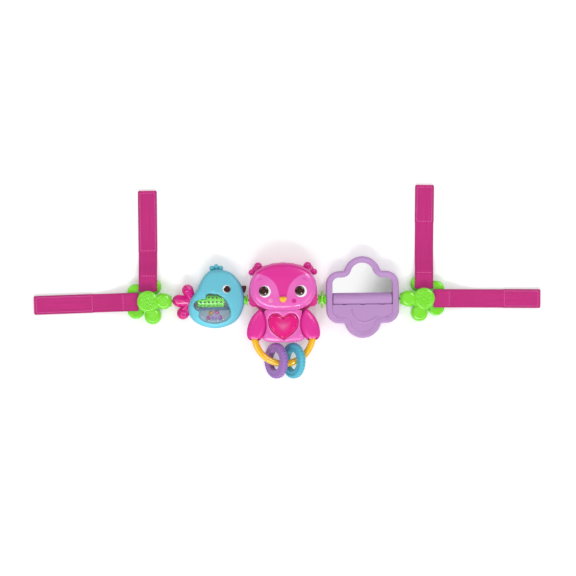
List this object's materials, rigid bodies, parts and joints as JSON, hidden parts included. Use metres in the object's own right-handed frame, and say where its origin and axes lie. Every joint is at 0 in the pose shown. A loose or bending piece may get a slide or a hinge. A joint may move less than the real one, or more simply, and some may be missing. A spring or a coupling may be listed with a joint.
{
  "type": "pram toy",
  "caption": "Pram toy bar: three animal and cloud toys threaded on a cord between flower clips with webbing straps.",
  "frame": {"origin": "the point of the owl's flat back under the cord line, midway between the owl's sides", "axes": "+X along the cord towards the cloud, +Y towards the owl's ears, +Z out of the owl's face"},
  "size_m": [0.671, 0.254, 0.0435],
  "materials": {
    "sky_blue": "smooth glossy moulded plastic",
    "hot_pink": "smooth glossy moulded plastic",
    "pink": "smooth glossy moulded plastic",
    "magenta": "smooth glossy moulded plastic",
    "leaf_green": "smooth glossy moulded plastic",
    "yellow": "smooth glossy moulded plastic",
    "purple": "smooth glossy moulded plastic",
    "deep_purple": "smooth glossy moulded plastic",
    "link_blue": "smooth glossy moulded plastic",
    "brown": "smooth glossy moulded plastic",
    "white": "smooth glossy moulded plastic",
    "clear": "clear moulded plastic window",
    "heart_pink": "translucent glossy plastic",
    "mirror": "polished plastic baby mirror",
    "webbing": "woven webbing",
    "cord": "braided cord",
    "hook_patch": "hook-and-loop patch",
    "steel": "zinc-plated steel",
    "board": "printed circuit board",
    "black": "matt plastic",
    "bead_1": "glossy bead",
    "bead_2": "glossy bead",
    "bead_3": "glossy bead",
    "bead_4": "glossy bead",
    "bead_5": "glossy bead"
  },
  "bodies": {
    "owl": {"owl_rear_shell": "hot_pink", "owl_forehead_shell": "magenta", "owl_face_shell": "pink", "owl_body_shell": "pink", "owl_left_eye": "white", "owl_right_eye": "white", "owl_beak": "yellow", "owl_left_wing": "magenta", "owl_right_wing": "magenta", "owl_screw_upper": "steel", "owl_screw_lower": "steel", "circuit_board": "board", "speaker": "black", "button_cell_1": "steel", "button_cell_2": "steel", "battery_door": "hot_pink", "battery_door_screw": "steel"},
    "heart": {"heart_button": "heart_pink"},
    "switch": {"power_switch": "black"},
    "ring": {"yellow_ring": "yellow"},
    "purple_link": {"purple_link": "deep_purple"},
    "blue_link": {"blue_link": "link_blue"},
    "left_cord": {"left_cord": "cord"},
    "right_cord": {"right_cord": "cord"},
    "left_spacer": {"left_spacer": "leaf_green"},
    "bird": {"bird_back_shell": "sky_blue", "bird_front_shell": "sky_blue", "bird_beak": "brown", "bird_eye": "white", "bird_screw_lower": "steel", "bird_screw_upper": "steel", "bird_tail": "hot_pink", "rattle_window": "clear"},
    "drum": {"rattle_drum": "leaf_green"},
    "bead_1": {"rattle_bead_1": "bead_1"},
    "bead_2": {"rattle_bead_2": "bead_2"},
    "bead_3": {"rattle_bead_3": "bead_3"},
    "bead_4": {"rattle_bead_4": "bead_4"},
    "bead_5": {"rattle_bead_5": "bead_5"},
    "left_clip": {"left_clip_back": "leaf_green", "left_clip_front": "leaf_green", "left_clip_screw": "steel"},
    "left_upper_strap": {"left_upper_strap": "webbing"},
    "left_outer_strap": {"left_outer_strap": "webbing", "left_outer_hook_patch": "hook_patch"},
    "right_spacer": {"right_spacer": "leaf_green"},
    "clacker": {"clacker_disc": "leaf_green"},
    "cloud": {"cloud_back_shell": "purple", "cloud_frame": "purple", "cloud_screw_lower": "steel", "cloud_screw_upper": "steel", "mirror": "mirror"},
    "roller": {"cloud_roller": "purple"},
    "right_clip": {"right_clip_back": "leaf_green", "right_clip_front": "leaf_green", "right_clip_screw": "steel"},
    "right_upper_strap": {"right_upper_strap": "webbing"},
    "right_outer_strap": {"right_outer_strap": "webbing", "right_outer_hook_patch": "hook_patch"}
  },
  "joints": [
    {"name": "heart_press", "type": "slide", "parent": "owl", "child": "heart", "axis": [0, 0, -1], "range_m": [0, 0.0015], "stiffness_N_per_m": 300},
    {"name": "power_switch_slide", "type": "slide", "parent": "owl", "child": "switch", "axis": [1, 0, 0], "range_m": [0, 0.003]},
    {"name": "ring_swing", "type": "hinge", "parent": "owl", "child": "ring", "pos_m": [0, -0.04847, 0.025], "axis": [1, 0, 0], "range_deg": [-15, 4]},
    {"name": "purple_link_swing", "type": "hinge", "parent": "ring", "child": "purple_link", "pos_m": [-0.01, -0.08265, 0.02201], "axis": [1, 0, 0], "range_deg": [-25, 25]},
    {"name": "blue_link_swing", "type": "hinge", "parent": "ring", "child": "blue_link", "pos_m": [0.0128, -0.08178, 0.02209], "axis": [1, 0, 0], "range_deg": [-6, 25]},
    {"name": "left_cord_bend", "type": "hinge", "parent": "owl", "child": "left_cord", "pos_m": [-0.04412, 0, 0.0125], "axis": [0, 0, 1], "range_deg": [-4, 4]},
    {"name": "right_cord_bend", "type": "hinge", "parent": "owl", "child": "right_cord", "pos_m": [0.04412, 0, 0.0125], "axis": [0, 0, 1], "range_deg": [-4, 4]},
    {"name": "left_spacer_spin", "type": "hinge", "parent": "left_cord", "child": "left_spacer", "pos_m": [-0.05, 0, 0.0125], "axis": [1, 0, 0], "continuous": true},
    {"name": "bird_spin", "type": "hinge", "parent": "left_cord", "child": "bird", "pos_m": [-0.08817, 0, 0.0125], "axis": [1, 0, 0], "continuous": true},
    {"name": "drum_spin", "type": "hinge", "parent": "bird", "child": "drum", "pos_m": [-0.08817, 0, 0.0125], "axis": [1, 0, 0], "continuous": true},
    {"name": "bead_1_rattle", "type": "slide", "parent": "bird", "child": "bead_1", "axis": [0, 0, 1], "range_m": [0, 0.004]},
    {"name": "bead_2_rattle", "type": "slide", "parent": "bird", "child": "bead_2", "axis": [0, 0, 1], "range_m": [0, 0.004]},
    {"name": "bead_3_rattle", "type": "slide", "parent": "bird", "child": "bead_3", "axis": [0, 0, 1], "range_m": [0, 0.004]},
    {"name": "bead_4_rattle", "type": "slide", "parent": "bird", "child": "bead_4", "axis": [0, 0, 1], "range_m": [0, 0.004]},
    {"name": "bead_5_rattle", "type": "slide", "parent": "bird", "child": "bead_5", "axis": [0, 0, 1], "range_m": [0, 0.004]},
    {"name": "left_clip_twist", "type": "hinge", "parent": "left_cord", "child": "left_clip", "pos_m": [-0.17832, 0, 0.0125], "axis": [1, 0, 0], "continuous": true},
    {"name": "left_upper_strap_lift", "type": "hinge", "parent": "left_clip", "child": "left_upper_strap", "pos_m": [-0.17832, 0.0105, 0.0141], "axis": [1, 0, 0], "range_deg": [0, 20]},
    {"name": "left_outer_strap_lift", "type": "hinge", "parent": "left_clip", "child": "left_outer_strap", "pos_m": [-0.18882, -0.00026, 0.0141], "axis": [-0.0244, 0.9997, 0], "range_deg": [0, 20]},
    {"name": "right_spacer_spin", "type": "hinge", "parent": "right_cord", "child": "right_spacer", "pos_m": [0.05, 0, 0.0125], "axis": [1, 0, 0], "continuous": true},
    {"name": "clacker_spin", "type": "hinge", "parent": "right_spacer", "child": "clacker", "pos_m": [0.0515, 0, 0.0125], "axis": [1, 0, 0], "continuous": true},
    {"name": "cloud_spin", "type": "hinge", "parent": "right_cord", "child": "cloud", "pos_m": [0.10472, 0, 0.0125], "axis": [1, 0, 0], "continuous": true},
    {"name": "roller_spin", "type": "hinge", "parent": "cloud", "child": "roller", "pos_m": [0.10472, 0, 0.0125], "axis": [1, 0, 0], "continuous": true},
    {"name": "right_clip_twist", "type": "hinge", "parent": "right_cord", "child": "right_clip", "pos_m": [0.18572, 0, 0.0125], "axis": [1, 0, 0], "continuous": true},
    {"name": "right_upper_strap_lift", "type": "hinge", "parent": "right_clip", "child": "right_upper_strap", "pos_m": [0.18596, 0.0105, 0.0141], "axis": [0.9997, -0.0227, 0], "range_deg": [0, 20]},
    {"name": "right_outer_strap_lift", "type": "hinge", "parent": "right_clip", "child": "right_outer_strap", "pos_m": [0.19622, -0.00016, 0.0141], "axis": [-0.0148, -0.9999, 0], "range_deg": [0, 20]}
  ]
}
